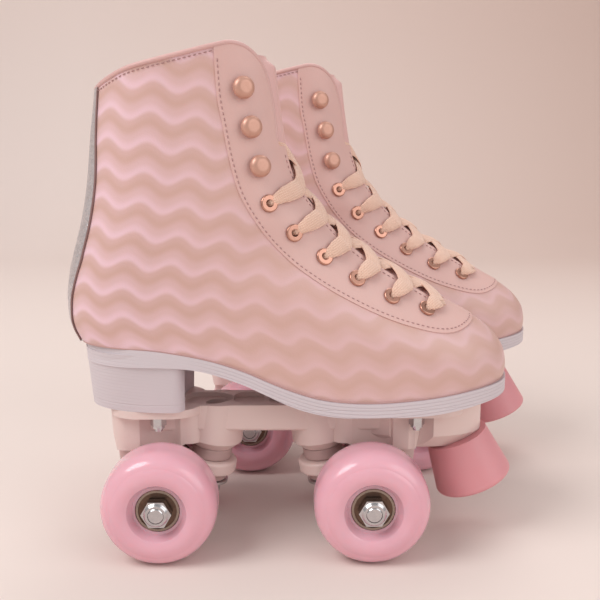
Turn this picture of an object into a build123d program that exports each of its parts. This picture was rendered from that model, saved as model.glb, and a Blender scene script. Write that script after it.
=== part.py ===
"""A pair of quad roller skates: high laced boots on nylon plates, each with two steering trucks,
four wheels on ball bearings and a toe stop.

Everything is modelled in the right skate's own frame, in millimetres: +X towards the toe, +Y towards
the left (the inner side of a right foot), +Z up, with X zero at the rear axle, Y zero on the plate's
centre line and Z zero on the ground.  The left skate is the right one's mirror image.  At the end both
are moved into the pair's frame, whose origin is on the ground under the middle of the pair.
"""

import math
import os

from build123d import *

# Driving dimensions, in millimetres and degrees
WHEELBASE = 106.0
WHEEL_RADIUS = 29.0
WHEEL_WIDTH = 32.0
TRACK_HALF = 34.0  # from the centre line to the middle of a wheel
BEARING_RADIUS = 11.0  # 608 bearing: 22 x 8 x 7
BEARING_WIDTH = 7.0
BORE_RADIUS = 4.0
BEARING_RECESS = 5.5  # from the wheel's side to the bearing's face
AXLE_RADIUS = 3.97
AXLE_HALF = 51.2
PLATE_TOP = 73.0
FLANGE = 4.0
WALL = 3.5  # the upper with its lining
THROAT_HALF = 12.0  # half the gap between the facings
KINGPIN_LEAN = 10.0  # the kingpin's lower end leans towards the axle
TOE_STOP_LEAN = 22.5  # the toe stop points forward and down
SKATE_SPACING = 120.0  # between the two centre lines
STAGGER = 40.0  # the left skate stands this far ahead

RIGHT_X = -88.5  # where the right rear axle stands in the pair's frame
RIGHT_Y = -SKATE_SPACING / 2

WHEEL_INNER = TRACK_HALF - WHEEL_WIDTH / 2
WHEEL_OUTER = TRACK_HALF + WHEEL_WIDTH / 2
SEAT_RADIUS = BEARING_RADIUS + 0.02  # the wheel grips the bearing with this little room
HOLE_RADIUS = 2.5
SEAT_LIFT = 1.0  # an eyelet's or hook's flange stands this far off the boot's form
LACE_WIDTH = 7.5
TONGUE_HALF = 19.0
HEEL_TOP = 104.0  # where the heel block's outline lies, above its bevel
HEEL_FOOT = (-38.4, 26.3, 45.0)  # its back end, half its width and its taper
HEEL_CORNER = 7.0  # the rounding at each end of the breast
BREAST_RADIUS = 60.0  # the heel's hollow front
BREAST_DEPTH = 6.0
BEAM_HALF = 14.0
BLOCK_HALF = 16.0  # as wide as the wheels leave room for when the trucks lean
HOUSING_HALF = 10.5
BOSS_RADIUS = 15.0
HOLLOW_RADIUS = 16.0  # of the hollow beside each mounting nut
FLANGE_HALF = 24.0
BOSS_GAP = 10.0  # from the ring's middle up to the kingpin boss
HEAD_GAP = 16.0  # from there up to the kingpin's head
RING_HALF = 3.6
CUSHION_FOOT = 8.2  # from the ring's middle down to the lower cushion's foot
CUP_RADIUS = 6.6
PIVOT_BALL = 4.2
ARM_ROOM = 4.8  # round the pivot ball, where the hanger's arm leaves its cup
TOE_STOP_FACE = (165.0, 27.0)
TOE_STOP_HEIGHT = 27.5

ON_BASE = (Align.CENTER, Align.CENTER, Align.MIN)
UNDER_TOP = (Align.CENTER, Align.CENTER, Align.MAX)

# The boot's form: for each height, where its section ends at the back and front, and how full it is
BACK = [(70, -38), (100, -40.5), (108, -43.5), (114, -46.5), (120, -48), (128, -48.3), (141, -46.8),
        (152, -44), (168, -39.5), (186, -36), (210, -33.2), (232, -30.2), (270, -26)]
FRONT = [(70, 176), (86, 178.3), (93, 178.9), (100, 177.8), (107, 173.8), (113, 167.5), (118, 160),
         (123, 151), (129, 141), (136, 129.5), (145, 114.5), (155, 100.5), (165, 88.5), (175, 79),
         (185, 71.5), (195, 67), (205, 64.5), (220, 62), (240, 59.5), (270, 57)]
HEEL_HALF = [(70, 28.5), (110, 30), (130, 31), (160, 32), (200, 31.5), (270, 30.5)]
BALL_HALF = [(70, 36.5), (100, 37), (120, 36), (140, 35), (170, 33), (200, 31.5), (270, 30.5)]
FRONT_TAPER = [(70, 58), (95, 60), (107, 66), (120, 78), (140, 90), (155, 80), (170, 58), (185, 46),
               (200, 42), (270, 42)]
BACK_TAPER = [(70, 33), (130, 34), (200, 36), (270, 36)]
FRONT_FULLNESS = [(70, 2.4), (100, 2.3), (122, 2.0), (150, 2.0), (175, 2.35), (270, 2.35)]
TOE_INSET = 4.0  # the toe leans this far to the inner side
LEVELS = [70, 88, 100, 109, 117, 125, 135, 147, 160, 175, 192, 210, 228, 246, 262, 276]

# Side outlines, as (x, z)
SOLE_TOP = [(-60, 106.5), (-30, 107), (-8, 106.2), (13, 103.2), (28, 99.8), (43, 95), (57, 89.2),
            (70, 84.6), (80, 82), (91, 80.5), (107, 79.8), (125, 80.8), (142, 82.5), (156, 84.4),
            (172, 86.2), (195, 88)]
SOLE_BOTTOM = [(-60, 97), (0, 97.5), (22, 95.2), (35, 91.3), (49, 86), (62, 79.8), (72, 76.4), (83, 74),
               (95, 73), (107, 73), (128, 73), (142, 74.2), (156, 76.3), (172, 78.7), (195, 82)]
COLLAR = [(-60, 224), (-36, 229.5), (-26, 234.5), (-12, 240.8), (1, 244.2), (15, 247.6), (30, 251.3),
          (38, 252.8), (45, 251), (51, 245.6), (54.5, 238.5), (57.5, 226), (60, 205)]
THROAT = [(146, 118), (128, 122), (98, 136), (72, 150), (48, 176), (38, 200), (32, 230), (28, 275)]
TONGUE_BACK = [(149, 112), (128, 119), (98, 132), (72, 146), (48, 172), (38, 200), (34, 230), (32, 248.5)]
BACKSTAY_HALF = [(100, 11), (108, 12.5), (128, 16.5), (152, 21), (185, 20), (232, 14.5), (262, 12)]

EYELETS = [(55.1, 177.8), (67.1, 163.5), (81.9, 151.2), (98.1, 140.2), (115.5, 131), (133.6, 124.1)]
HOOKS = [(42.7, 231.6), (46.1, 213.6), (50.1, 195.3)]
BOLT_X = (-2.0, 130.0)
BOLT_Y = 20.0

REAR_PIVOT = (-16.0, 45.5)  # the steering axis runs from the pivot ball
RING_CENTRE = (22.0, 37.7)  # to the middle of the ring round the kingpin
HEEL_FRONT = 14.0
MIDDLE = WHEELBASE / 2
AXLE_LINE = Plane(origin=(0, 0, WHEEL_RADIUS), x_dir=(1, 0, 0), z_dir=(0, 1, 0))


def between(knots, t):
    """A smooth curve through (t, value) knots that never overshoots them."""
    if t <= knots[0][0]:
        return knots[0][1]
    if t >= knots[-1][0]:
        return knots[-1][1]
    slopes = [(b[1] - a[1]) / (b[0] - a[0]) for a, b in zip(knots, knots[1:])]
    bends = [slopes[0]] + [2 * p * q / (p + q) if p * q > 0 else 0.0 for p, q in zip(slopes, slopes[1:])]
    bends.append(slopes[-1])
    i = max(k for k, knot in enumerate(knots[:-1]) if knot[0] <= t)
    (t0, v0), (t1, v1) = knots[i], knots[i + 1]
    span = t1 - t0
    s = (t - t0) / span
    return ((1 + 2 * s) * (1 - s) ** 2 * v0 + s * (1 - s) ** 2 * span * bends[i]
            + s * s * (3 - 2 * s) * v1 - s * s * (1 - s) * span * bends[i + 1])


def fullness(share, power):
    """0 at a section's tip, 1 from the end of its taper on."""
    share = min(max(share, 0.0), 1.0)
    return (1 - (1 - share) ** power) ** (1 / power)


def step(share):
    share = min(max(share, 0.0), 1.0)
    return share * share * (3 - 2 * share)


def centre_line(x):
    return TOE_INSET * step((x - 20) / 150)


def ends(z, grow):
    """The back and front ends of the section at height z, grown outwards by grow."""
    out = []
    for knots, sign in ((BACK, -1), (FRONT, 1)):
        slope = (between(knots, z + 1) - between(knots, z - 1)) / 2
        out.append(between(knots, z) + sign * grow * math.hypot(1, slope))
    return out


def half_width(x, z, grow=0.0):
    """Half the boot's width at x on the section at height z."""
    back, front = ends(z, grow)
    widest = between(HEEL_HALF, z) + (between(BALL_HALF, z) - between(HEEL_HALF, z)) * step((x - 20) / 80)
    heel = fullness((x - back) / (between(BACK_TAPER, z) + grow), 2.1)
    toe = fullness((front - x) / (between(FRONT_TAPER, z) + grow), between(FRONT_FULLNESS, z))
    return (widest + grow) * heel * toe


def section(z, grow, count=9):
    """The closed outline at height z, from the back tip round the right side to the front and back."""
    back, front = ends(z, grow)
    xs = [back + (front - back) * (1 - math.cos(math.pi * i / count)) / 2 for i in range(count + 1)]
    right = [(x, centre_line(x) - half_width(x, z, grow)) for x in xs]
    left = [(x, centre_line(x) + half_width(x, z, grow)) for x in reversed(xs[1:-1])]
    return right + left


def boot_form(grow, levels=LEVELS):
    """The whole boot's closed outer form, grown by grow."""
    with BuildPart() as form:
        for z in levels:
            with BuildSketch(Plane.XY.offset(z)):
                with BuildLine():
                    Spline(*section(z, grow), periodic=True)
                make_face()
        loft()
    return form.part


def curve_region(points, corners, half=80.0):
    """A slab across the boot: bounded in side view by a smooth curve, closed through the corners."""
    with BuildPart() as slab:
        with BuildSketch(Plane.XZ):
            with BuildLine():
                Spline(*points)
                Polyline(points[-1], *corners, points[0])
            make_face()
        extrude(amount=half, both=True)
    return slab.part


def straight_region(points, half):
    """The same between straight lines."""
    with BuildPart() as slab:
        with BuildSketch(Plane.XZ):
            with BuildLine():
                Polyline(*points, close=True)
            make_face()
        extrude(amount=half, both=True)
    return slab.part


def sampled(knots, start, stop, count):
    """Evenly spaced points on an outline given as (x, z) knots."""
    xs = [start + (stop - start) * i / count for i in range(count + 1)]
    return [(x, between(knots, x)) for x in xs]


def on_side(x, z, side, grow=0.0):
    """A plane on the boot's outside, with its normal outwards.  side is -1 on the right, 1 on the left."""

    def gap(x, y, z):
        return side * (y - centre_line(x)) - half_width(x, z, grow)

    y = centre_line(x) + side * half_width(x, z, grow)
    d = 0.5
    normal = Vector(*((gap(x + dx, y + dy, z + dz) - gap(x - dx, y - dy, z - dz)) / (2 * d)
                      for dx, dy, dz in ((d, 0, 0), (0, d, 0), (0, 0, d))))
    return Plane(origin=(x, y, z), z_dir=normal)


def combined(pieces):
    """One node's separate pieces together."""
    with BuildPart() as group:
        add(pieces)
    return group.part


outer_form = boot_form(0.0)
cover_form = boot_form(0.8)
lining_form = boot_form(-WALL)
above_collar = curve_region(COLLAR, [(120, 205), (120, 320), (-60, 320)])
above_sole = curve_region(sampled(SOLE_TOP, -60, 195, 22), [(195, 320), (-60, 320)])
below_sole = curve_region(sampled(SOLE_BOTTOM, -60, 195, 22), [(195, 20), (-60, 20)])
throat = straight_region(THROAT + [(146, 275)], THROAT_HALF)


def make_lace_holes():
    """The holes through the facings, each with a flat seat for its eyelet or hook."""
    planes = [on_side(x, z, side) for x, z in EYELETS + HOOKS for side in (-1, 1)]
    with BuildPart() as holes:
        with Locations(*planes):
            Cylinder(HOLE_RADIUS, 4 * WALL)
        with Locations(*[plane.offset(SEAT_LIFT - 0.03) for plane in planes]):
            Cylinder(4.6, 5, align=ON_BASE)
    return holes.part


lace_holes = make_lace_holes()


def make_upper():
    """Quarters, vamp and lining as one wall, open at the collar, the throat and underneath."""
    with BuildPart() as upper:
        add(outer_form)
        add(lining_form, mode=Mode.SUBTRACT)
        add(above_sole, mode=Mode.INTERSECT)
        add([above_collar, throat, lace_holes], mode=Mode.SUBTRACT)
    return upper.part


def make_backstay():
    """The strip that covers the back seam."""
    edge = [(-between(BACKSTAY_HALF, z), z) for z in (100, 114, 128, 152, 185, 208, 232, 262)]
    opposite = [(-y, z) for y, z in reversed(edge)]
    with BuildPart() as backstay:
        with BuildSketch(Plane.YZ.offset(-80)):
            with BuildLine():
                Spline(*edge)
                Line(edge[-1], opposite[0])
                Spline(*opposite)
                Line(opposite[-1], edge[0])
            make_face()
        extrude(amount=70)
        add(cover_form, mode=Mode.INTERSECT)
        add(above_sole, mode=Mode.INTERSECT)
        add([outer_form, above_collar], mode=Mode.SUBTRACT)
    return backstay.part


def make_tongue():
    """A padded strip behind the facings, thicker where it shows between them."""
    strip = straight_region(TONGUE_BACK + [(190, 248.5), (190, 112)], TONGUE_HALF)
    gap = straight_region(TONGUE_BACK + [(143.5, 248.5), (143.5, 114)], THROAT_HALF - 1)
    with BuildPart() as pad:
        add(boot_form(0.6))
        add(gap, mode=Mode.INTERSECT)
    with BuildPart() as tongue:
        add(boot_form(-WALL - 0.4))
        add(strip, mode=Mode.INTERSECT)
        add(pad.part)
        add(boot_form(-WALL - 4.4), mode=Mode.SUBTRACT)
    return tongue.part


def make_footbed():
    """The insole board and foam that close the boot's bottom."""
    top = [(x, z + 4) for x, z in sampled(SOLE_TOP, -60, 195, 22)]
    above_footbed = curve_region(top, [(195, 320), (-60, 320)])
    with BuildPart() as footbed:
        add(boot_form(-WALL - 0.1))
        add(above_sole, mode=Mode.INTERSECT)
        add(above_footbed, mode=Mode.SUBTRACT)
    return footbed.part


def bolt_seat(x):
    """The height at which a mounting bolt's head rests in the sole."""
    return min(between(SOLE_TOP, x - 5), between(SOLE_TOP, x + 5)) - 2.6


def heel_outline(back, half, taper, count=10):
    """The heel block's closed outline, from its back end to the breast's rounded corners."""
    xs = [back + (HEEL_FRONT - back) * (1 - math.cos(math.pi * i / count)) / 2 for i in range(count + 1)]
    ys = [half * fullness((x - back) / taper, 2.1) * fullness((HEEL_FRONT - x) / HEEL_CORNER, 2.2)
          for x in xs]
    right = [(x, -y) for x, y in zip(xs, ys)]
    left = [(x, y) for x, y in zip(xs[1:-1], ys[1:-1])]
    return right + left[::-1]


def make_outsole():
    """The moulded unit sole: a welt-thick forepart and waist in one with the heel block."""
    bolts = [(x, y) for x in BOLT_X for y in (-BOLT_Y, BOLT_Y)]
    top = (ends(96, 0.8)[0], between(HEEL_HALF, 96) + 0.8, between(BACK_TAPER, 96) + 0.8)
    with BuildPart() as heel:
        for z, (back, half, taper) in ((PLATE_TOP, HEEL_FOOT), (HEEL_TOP, top)):
            with BuildSketch(Plane.XY.offset(z)):
                with BuildLine():
                    Spline(*heel_outline(back, half, taper), periodic=True)
                make_face()
        loft(ruled=True)
        with Locations((HEEL_FRONT + BREAST_RADIUS - BREAST_DEPTH, 0, 0)):
            Cylinder(BREAST_RADIUS, 300, mode=Mode.SUBTRACT)
    with BuildPart() as outsole:
        with BuildSketch(Plane.XY.offset(60)):
            with BuildLine():
                Spline(*section(90, 0.8), periodic=True)
            make_face()
        extrude(amount=60)
        add(below_sole, mode=Mode.SUBTRACT)
        add(heel.part)
        add(above_sole, mode=Mode.SUBTRACT)
        for x, y in bolts:
            with Locations((x, y, bolt_seat(x))):
                Cylinder(2.6, 80, mode=Mode.SUBTRACT)
                Cylinder(5.2, 20, align=ON_BASE, mode=Mode.SUBTRACT)
    return outsole.part


def make_eyelets():
    """Twelve rolled eyelets, each a rounded flange on the facing and a barrel through it."""
    with BuildPart() as eyelet:
        with Locations((0, 0, SEAT_LIFT)):
            Cylinder(4.3, 1.1, align=ON_BASE)
            Cylinder(2.4, 4.4, align=UNDER_TOP)
        fillet(eyelet.edges().group_by(Axis.Z)[-1], 0.7)
        Cylinder(1.9, 20, mode=Mode.SUBTRACT)
    with BuildPart() as eyelets:
        with Locations(*[on_side(x, z, side) for x, z in EYELETS for side in (-1, 1)]):
            add(eyelet.part)
    return eyelets.part


def make_lace_hooks():
    """Six speed hooks, each a rivet through the facing, a foot, a neck and a domed head."""
    with BuildPart() as hook:
        Cylinder(2.4, 3.4, align=UNDER_TOP)
        Cylinder(2.4, 3, align=ON_BASE)
        with Locations((0, 0, SEAT_LIFT)):
            Cylinder(3.8, 0.9, align=ON_BASE)
        with Locations((0, 0, 2.8)):
            Cylinder(5.3, 3.2, align=ON_BASE)
        fillet(hook.edges().group_by(Axis.Z)[-1], 3)
    with BuildPart() as hooks:
        with Locations(*[on_side(x, z, side) for x, z in HOOKS for side in (-1, 1)]):
            add(hook.part)
    return hooks.part


def make_lace():
    """The flat lace, as one band across the throat at each pair of eyelets."""
    levels = [110, 125, 140, 155, 170, 190]
    with BuildPart() as layer:
        add(boot_form(3.5, levels))
        add(boot_form(2.3, levels), mode=Mode.SUBTRACT)
    bands = []
    for i, (x, z) in enumerate(EYELETS):
        before = EYELETS[max(i - 1, 0)]
        after = EYELETS[min(i + 1, len(EYELETS) - 1)]
        along = math.degrees(math.atan2(after[1] - before[1], after[0] - before[0]))
        with BuildPart() as band:
            with BuildSketch(Plane.XZ):
                with Locations(Location((x, z), along)):
                    with Locations((0, 15)):
                        Rectangle(LACE_WIDTH, 40)
            extrude(amount=half_width(x, z) - 5, both=True)
            add(layer.part, mode=Mode.INTERSECT)
        bands.append(band.solids().sort_by(SortBy.VOLUME)[-1])
    return combined(bands)


def ring_plane(up=0.0):
    """Across the rear kingpin, this far above the ring's middle, with its normal up the kingpin."""
    lean = math.radians(KINGPIN_LEAN)
    axis = Vector(math.sin(lean), 0, math.cos(lean))
    origin = Vector(RING_CENTRE[0], 0, RING_CENTRE[1]) + axis * up
    return Plane(origin=origin, x_dir=(math.cos(lean), 0, -math.sin(lean)), z_dir=axis)


def steering_plane(along=0.0):
    """At the rear pivot ball, or this far along the steering axis towards the ring."""
    axis = Vector(RING_CENTRE[0] - REAR_PIVOT[0], 0, RING_CENTRE[1] - REAR_PIVOT[1]).normalized()
    return Plane(origin=Vector(REAR_PIVOT[0], 0, REAR_PIVOT[1]) + axis * along, x_dir=(0, 1, 0), z_dir=axis)


def arm_plane():
    """At the rear pivot ball, with its normal down the hanger's arm to the axle."""
    ball = Vector(REAR_PIVOT[0], 0, REAR_PIVOT[1])
    return Plane(origin=ball, x_dir=(0, 1, 0), z_dir=Vector(0, 0, WHEEL_RADIUS) - ball)


def toe_stop_plane(up=0.0):
    """On the toe stop's face, or this far up its axis."""
    lean = math.radians(TOE_STOP_LEAN)
    axis = Vector(-math.sin(lean), 0, math.cos(lean))
    origin = Vector(TOE_STOP_FACE[0], 0, TOE_STOP_FACE[1]) + axis * up
    return Plane(origin=origin, x_dir=(math.cos(lean), 0, math.sin(lean)), z_dir=axis)


def to_front(part):
    """A rear truck's piece, mirrored for the front truck."""
    return mirror(part, about=Plane.YZ.offset(MIDDLE))


def make_kingpin_room():
    """What the rear kingpin, its head and the pivot cup take out of the plate."""
    with BuildPart() as room:
        with Locations(ring_plane()):
            Cylinder(4.1, 80)
        with Locations(ring_plane(BOSS_GAP + HEAD_GAP)):
            Cylinder(7.2, 30, align=ON_BASE)
        with Locations(steering_plane(-5)):
            Cylinder(CUP_RADIUS, 17, align=ON_BASE)
        with Locations(arm_plane()):
            Cone(ARM_ROOM, 10, 30, align=ON_BASE)
    return room.part


def make_truck_seat():
    """The plate's rear block, with the kingpin boss and the pivot housing under it."""
    with BuildPart() as seat:
        with BuildSketch(Plane.XY.offset(48)):
            with Locations((-4, 0)):
                RectangleRounded(48, 2 * BLOCK_HALF, 8)
        extrude(amount=PLATE_TOP - 48)
        with BuildSketch(Plane.XZ):
            with BuildLine():
                Polyline((-28.5, PLATE_TOP), (-27.3, 60.5), (-24.8, 49.5), (5, 49.5), (11, 53), (22, 53),
                         (22, 30), (-60, 30), (-60, PLATE_TOP), close=True)
            make_face()
        extrude(amount=60, both=True, mode=Mode.SUBTRACT)
        with BuildSketch(Plane.XZ):
            with BuildLine():
                Polyline((-25, 52), (-24.3, 44), (-23.5, 38), (-20, 36), (-9, 36), (-5, 42), (1, 52),
                         close=True)
            make_face()
        extrude(amount=HOUSING_HALF, both=True)
        for y in (-28, 28):
            with Locations((BOLT_X[0], y, PLATE_TOP)):
                Cylinder(HOLLOW_RADIUS, 80, mode=Mode.SUBTRACT)
    with BuildPart() as boss:
        Cylinder(BOSS_RADIUS, 30, align=ON_BASE)
        chamfer(boss.edges().group_by(Axis.Z)[0], 4.5)
    return combined([seat.part, ring_plane(BOSS_GAP).location * boss.part])


def make_nose():
    """The plate's front end, drawn in towards its foot and cut across above the toe stop."""
    with BuildPart() as nose:
        for z, length, half in ((49.5, 29, 12), (57, 34, 18)):
            with BuildSketch(Plane.XY.offset(z)):
                with Locations((133, 0)):
                    Ellipse(length, half)
        loft(ruled=True)
        with BuildSketch(Plane.XY.offset(57)):
            with Locations((133, 0)):
                Ellipse(34, 18)
        extrude(amount=25)
        for y in (-28, 28):
            with Locations((BOLT_X[1] - 3, y, PLATE_TOP - FLANGE)):
                Cylinder(HOLLOW_RADIUS, 80, align=UNDER_TOP, mode=Mode.SUBTRACT)
        with Locations(toe_stop_plane(TOE_STOP_HEIGHT)):
            Box(200, 120, 100, align=UNDER_TOP, mode=Mode.SUBTRACT)
    return nose.part


def make_flange():
    """The flange under the sole: a wide lobe at each pair of mounting bolts and a narrow waist."""
    with BuildPart() as flange:
        with BuildSketch(Plane.XY.offset(PLATE_TOP - FLANGE)):
            with Locations((-4, 0)):
                RectangleRounded(48, 2 * FLANGE_HALF, 16)
            with Locations((MIDDLE, 0)):
                Rectangle(130, 2 * BEAM_HALF)
            with Locations((130, 0)):
                RectangleRounded(52, 2 * FLANGE_HALF, 16)
        extrude(amount=FLANGE + 3)
    return flange.part


def make_plate(outsole):
    """The nylon plate: a beam and its flange, a seat for each truck and a nose for the toe stop."""
    seat = make_truck_seat()
    with BuildPart() as plate:
        with Locations((MIDDLE, 0, 59)):
            Box(120, 2 * BEAM_HALF, PLATE_TOP - 59, align=ON_BASE)
        fillet(plate.edges().filter_by(Axis.X).group_by(Axis.Z)[0], 2)
        add([seat, to_front(seat), make_nose(), make_flange()])
        with BuildSketch(Plane.XZ):
            with BuildLine():
                Polyline((-40, PLATE_TOP), (128, PLATE_TOP), (145, 75.5), (175, 80.5), (175, 120),
                         (-40, 120), close=True)
            make_face()
        extrude(amount=60, both=True, mode=Mode.SUBTRACT)
        add(outsole, mode=Mode.SUBTRACT)
        with BuildSketch(Plane.XY.offset(PLATE_TOP)):
            with Locations((21, 0), (2 * MIDDLE - 21, 0)):
                RectangleRounded(24, 21, 9)
            with Locations((MIDDLE - 9.5, 0), (MIDDLE + 9.5, 0)):
                RectangleRounded(16.5, 21, 7.5)
        extrude(amount=-2.5, mode=Mode.SUBTRACT)
        with Locations(*[(x, y, PLATE_TOP) for x in BOLT_X for y in (-BOLT_Y, BOLT_Y)]):
            Cylinder(2.3, 60, mode=Mode.SUBTRACT)
        for x, y in ((x, y) for x in BOLT_X for y in (-BOLT_Y, BOLT_Y)):
            with Locations((x, y, PLATE_TOP - FLANGE)):
                Cylinder(5.2, 20, align=UNDER_TOP, mode=Mode.SUBTRACT)
        add([kingpin_room, to_front(kingpin_room)], mode=Mode.SUBTRACT)
        with Locations(toe_stop_plane(TOE_STOP_HEIGHT)):
            Cylinder(4.05, 17, align=ON_BASE, mode=Mode.SUBTRACT)
    return plate.part


def make_mounting_bolts():
    """Four bolts down through the sole and plate, each with a lock nut underneath."""
    under = PLATE_TOP - FLANGE
    pieces = []
    for x in BOLT_X:
        shank = bolt_seat(x) - under + 7.2
        with BuildPart() as bolt:
            Cylinder(5, 2.2, align=ON_BASE)
            Cylinder(2, shank, align=UNDER_TOP)
        with BuildPart() as nut:
            with BuildSketch():
                RegularPolygon(3.5, 6, major_radius=False)
            extrude(amount=-4.2)
            with Locations((0, 0, -4.2)):
                Cylinder(3.1, 1.4, align=UNDER_TOP)
            Cylinder(2.05, 20, mode=Mode.SUBTRACT)
        with BuildPart() as pair:
            with Locations((x, -BOLT_Y, bolt_seat(x)), (x, BOLT_Y, bolt_seat(x))):
                add(bolt.part)
            with Locations((x, -BOLT_Y, under), (x, BOLT_Y, under)):
                add(nut.part)
        pieces.append(pair.part)
    return combined(pieces)


def make_toe_stop():
    """A rubber cone with the bolt's recess in its face."""
    with BuildPart() as stop:
        Cone(21, 16.5, TOE_STOP_HEIGHT - 0.1, align=ON_BASE)
        fillet(stop.edges().filter_by(GeomType.CIRCLE).sort_by(SortBy.RADIUS)[-1], 2)
        Cylinder(7.5, 12, align=ON_BASE, mode=Mode.SUBTRACT)
        Cylinder(4.05, 80, mode=Mode.SUBTRACT)
    return toe_stop_plane().location * stop.part


def make_toe_stop_bolt():
    """The socket-head bolt that holds the toe stop."""
    with BuildPart() as bolt:
        Cylinder(6.2, 6.5, align=UNDER_TOP)
        Cylinder(3.95, 31, align=ON_BASE)
        with BuildSketch(Plane.XY.offset(-6.5)):
            RegularPolygon(3, 6, major_radius=False)
        extrude(amount=4, mode=Mode.SUBTRACT)
    return toe_stop_plane(12).location * bolt.part


def make_kingpin():
    """The rear kingpin with its head in the plate, and below the cushions a washer and lock nut."""
    with BuildPart() as pin:
        with Locations((0, 0, BOSS_GAP + HEAD_GAP)):
            Cylinder(6.5, 4.2, align=ON_BASE)
            Cylinder(3.95, HEAD_GAP + BOSS_GAP + CUSHION_FOOT + 11, align=UNDER_TOP)
    with BuildPart() as washer:
        with Locations((0, 0, -CUSHION_FOOT)):
            Cylinder(11, 1.4, align=UNDER_TOP)
        Cylinder(4, 60, mode=Mode.SUBTRACT)
    with BuildPart() as nut:
        with BuildSketch(Plane.XY.offset(-CUSHION_FOOT - 1.45)):
            RegularPolygon(6.5, 6, major_radius=False)
        extrude(amount=-6.4)
        with Locations((0, 0, -CUSHION_FOOT - 7.85)):
            Cylinder(5.4, 1.4, align=UNDER_TOP)
        Cylinder(4, 60, mode=Mode.SUBTRACT)
    return ring_plane().location * combined([pin.part, washer.part, nut.part])


def make_cushions():
    """The two rubber cushions that hold the hanger's ring between them."""
    with BuildPart() as cushions:
        with BuildSketch(Plane.XZ):
            with Locations((0, RING_HALF)):
                Rectangle(10.6, BOSS_GAP - RING_HALF, align=(Align.MIN, Align.MIN))
            with Locations((0, -RING_HALF)):
                Rectangle(9.8, CUSHION_FOOT - RING_HALF, align=(Align.MIN, Align.MAX))
        revolve(axis=Axis.Z)
        fillet(cushions.edges().filter_by(GeomType.CIRCLE), 1.2)
        Cylinder(4, 60, mode=Mode.SUBTRACT)
    return ring_plane().location * cushions.part


def make_pivot_cup():
    """The rubber cup in the plate that the hanger's pivot ball sits in."""
    with BuildPart() as cup:
        Cylinder(CUP_RADIUS - 0.05, 9, align=(Align.CENTER, Align.CENTER, Align.CENTER))
        Sphere(PIVOT_BALL + 0.3, mode=Mode.SUBTRACT)
    with BuildPart() as opened:
        add(steering_plane().location * cup.part)
        with Locations(arm_plane()):
            Cone(ARM_ROOM, 10, 30, align=ON_BASE, mode=Mode.SUBTRACT)
    return opened.part


def make_hanger():
    """The rear truck: an axle housing with a ring round the kingpin and an arm to the pivot ball."""
    with BuildPart() as hanger:
        with Locations(AXLE_LINE):
            Cylinder(8.2, 2 * (WHEEL_INNER - 1.2))
            Cylinder(6.2, 2 * (WHEEL_INNER + BEARING_RECESS - 0.15))
        with Locations(arm_plane()):
            Cone(3.2, 7.2, 23, align=ON_BASE)
            Sphere(PIVOT_BALL)
        with BuildSketch(Plane.XZ):
            with BuildLine():
                Polyline((-2, 35), (14, 40.5), (18, 33.5), (2, 22.5), close=True)
            make_face()
        extrude(amount=9, both=True)
        with Locations(ring_plane()):
            Cylinder(14.2, 2 * RING_HALF - 0.1)
        fillet(hanger.edges().filter_by(GeomType.CIRCLE).filter_by(lambda edge: edge.radius > 14), 1.5)
        with Locations(ring_plane()):
            Cylinder(5.6, 60, mode=Mode.SUBTRACT)
        with Locations(ring_plane(RING_HALF)):
            Cylinder(13, 8, align=ON_BASE, mode=Mode.SUBTRACT)
        with Locations(ring_plane(-RING_HALF)):
            Cylinder(12, 14, align=UNDER_TOP, mode=Mode.SUBTRACT)
        with Locations(AXLE_LINE):
            Cylinder(BORE_RADIUS, 80, mode=Mode.SUBTRACT)
    return hanger.part


def make_axle():
    """The steel axle through the hanger, with chamfered ends."""
    with BuildPart() as axle:
        Cylinder(AXLE_RADIUS, 2 * AXLE_HALF)
        chamfer(axle.edges().filter_by(GeomType.CIRCLE), 0.6)
    return AXLE_LINE.location * axle.part


def make_axle_nuts():
    """A lock nut and a washer on each end of the axle."""
    with BuildPart() as nuts:
        for sign in (-1, 1):
            face = AXLE_LINE.offset(sign * (WHEEL_OUTER - BEARING_RECESS + 0.15))
            with BuildSketch(face):
                RegularPolygon(6.5, 6, major_radius=False)
            extrude(amount=sign * 4.9)
            with BuildSketch(face.offset(sign * 4.9)):
                Circle(5.6)
            extrude(amount=sign * 1.3)
        chamfer(nuts.edges().filter_by(GeomType.CIRCLE), 0.5)
        with Locations(AXLE_LINE):
            Cylinder(AXLE_RADIUS + 0.02, 200, mode=Mode.SUBTRACT)
    return nuts.part


def wheel_profile():
    """Half the wheel's section, as (distance from the wheel's middle plane, radius)."""
    half = WHEEL_WIDTH / 2
    seat = half - BEARING_RECESS
    shelf = seat - BEARING_WIDTH
    with BuildSketch() as profile:
        with BuildLine():
            Polyline((-shelf, 9.2), (-shelf, SEAT_RADIUS), (-seat, SEAT_RADIUS), (-seat, 12.4),
                     (-half + 1.2, 14.6))
            ThreePointArc((-half + 1.2, 14.6), (-half - 0.0, 18.8), (-half + 1.4, 23.2))
            Spline((-half + 1.4, 23.2), (-half + 3.7, 26.6), (-half + 8, 28.6), (0, WHEEL_RADIUS),
                   (half - 8, 28.6), (half - 3.7, 26.6), (half - 1.4, 23.2))
            ThreePointArc((half - 1.4, 23.2), (half, 18.8), (half - 1.2, 14.6))
            Polyline((half - 1.2, 14.6), (seat, 12.4), (seat, SEAT_RADIUS), (shelf, SEAT_RADIUS),
                     (shelf, 9.2), (-shelf, 9.2))
        make_face()
    return profile.sketch


def make_wheel():
    """A cast urethane wheel with a bearing seat in each side."""
    with BuildPart() as wheel:
        add(wheel_profile())
        revolve(axis=Axis.X)
    return Rotation(0, 0, 90) * wheel.part


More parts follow.
